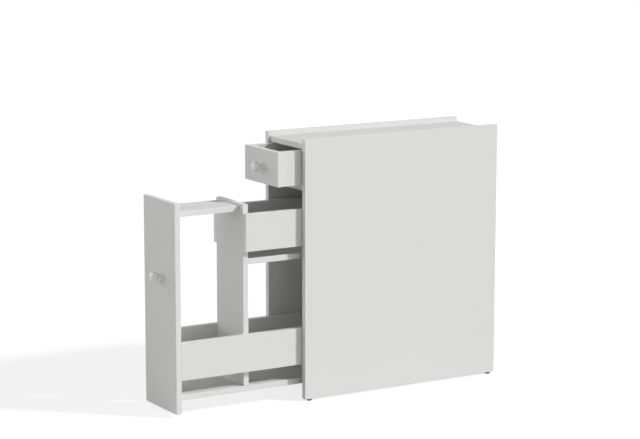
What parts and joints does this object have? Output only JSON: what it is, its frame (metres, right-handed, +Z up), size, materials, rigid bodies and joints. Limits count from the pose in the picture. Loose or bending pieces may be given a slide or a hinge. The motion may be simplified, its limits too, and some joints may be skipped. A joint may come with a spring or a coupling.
{
  "type": "narrow bathroom cabinet",
  "caption": "Narrow white bathroom cabinet: a slim casing, open at its front end, with a small drawer above a tall pull-out with shelves, both drawn out.",
  "frame": {"origin": "on the floor, under the middle of the bounding box of the cabinet as stored, drawn out", "axes": "+X to the right side panel, -Y to the front where the drawer and the pull-out come out, +Z up"},
  "size_m": [0.165, 0.7954, 0.55],
  "materials": {
    "white_melamine_board": "satin",
    "white_hardboard": "matte",
    "painted_wood": "satin",
    "dowel_wood": "matte",
    "foot_plastic": "matte",
    "zinc_casting": "matte",
    "plated_steel": "satin"
  },
  "bodies": {
    "casing": {"right_side_panel": "white_melamine_board", "left_side_panel": "white_melamine_board", "top_panel": "white_melamine_board", "drawer_shelf": "white_melamine_board", "back_panel": "white_melamine_board", "right_runner": "white_melamine_board", "left_runner": "white_melamine_board", "right_tilt_guide": "white_melamine_board", "left_tilt_guide": "white_melamine_board", "right_pullout_stop": "white_melamine_board", "left_pullout_stop": "white_melamine_board", "drawer_stop": "white_melamine_board", "front_right_foot": "foot_plastic", "front_left_foot": "foot_plastic", "rear_right_foot": "foot_plastic", "rear_left_foot": "foot_plastic", "casing_cam_locks": "zinc_casting", "casing_cam_bolts": "plated_steel", "casing_dowels": "dowel_wood", "casing_screws": "plated_steel"},
    "drawer": {"drawer_front": "white_melamine_board", "drawer_right_side": "white_melamine_board", "drawer_left_side": "white_melamine_board", "drawer_back": "white_melamine_board", "drawer_bottom": "white_hardboard", "drawer_knob": "painted_wood", "drawer_knob_screw": "plated_steel", "drawer_cam_locks": "zinc_casting", "drawer_cam_bolts": "plated_steel", "drawer_dowels": "dowel_wood"},
    "pullout": {"pullout_front": "white_melamine_board", "pullout_knob": "painted_wood", "pullout_knob_screw": "plated_steel", "bottom_shelf": "white_melamine_board", "middle_shelf": "white_melamine_board", "short_shelf": "white_melamine_board", "divider": "white_melamine_board", "pullout_back": "white_melamine_board", "right_upper_rail": "white_melamine_board", "left_upper_rail": "white_melamine_board", "right_lower_rail": "white_melamine_board", "left_lower_rail": "white_melamine_board", "right_stop_lug": "white_melamine_board", "left_stop_lug": "white_melamine_board", "pullout_cam_locks": "zinc_casting", "pullout_cam_bolts": "plated_steel", "pullout_dowels": "dowel_wood", "pullout_screws": "plated_steel"}
  },
  "joints": [
    {"name": "drawer_slide", "type": "slide", "parent": "casing", "child": "drawer", "axis": [0, -1, 0], "range_m": [-0.0615, 0.1985]},
    {"name": "pullout_slide", "type": "slide", "parent": "casing", "child": "pullout", "axis": [0, -1, 0], "range_m": [-0.298, 0.012]}
  ]
}
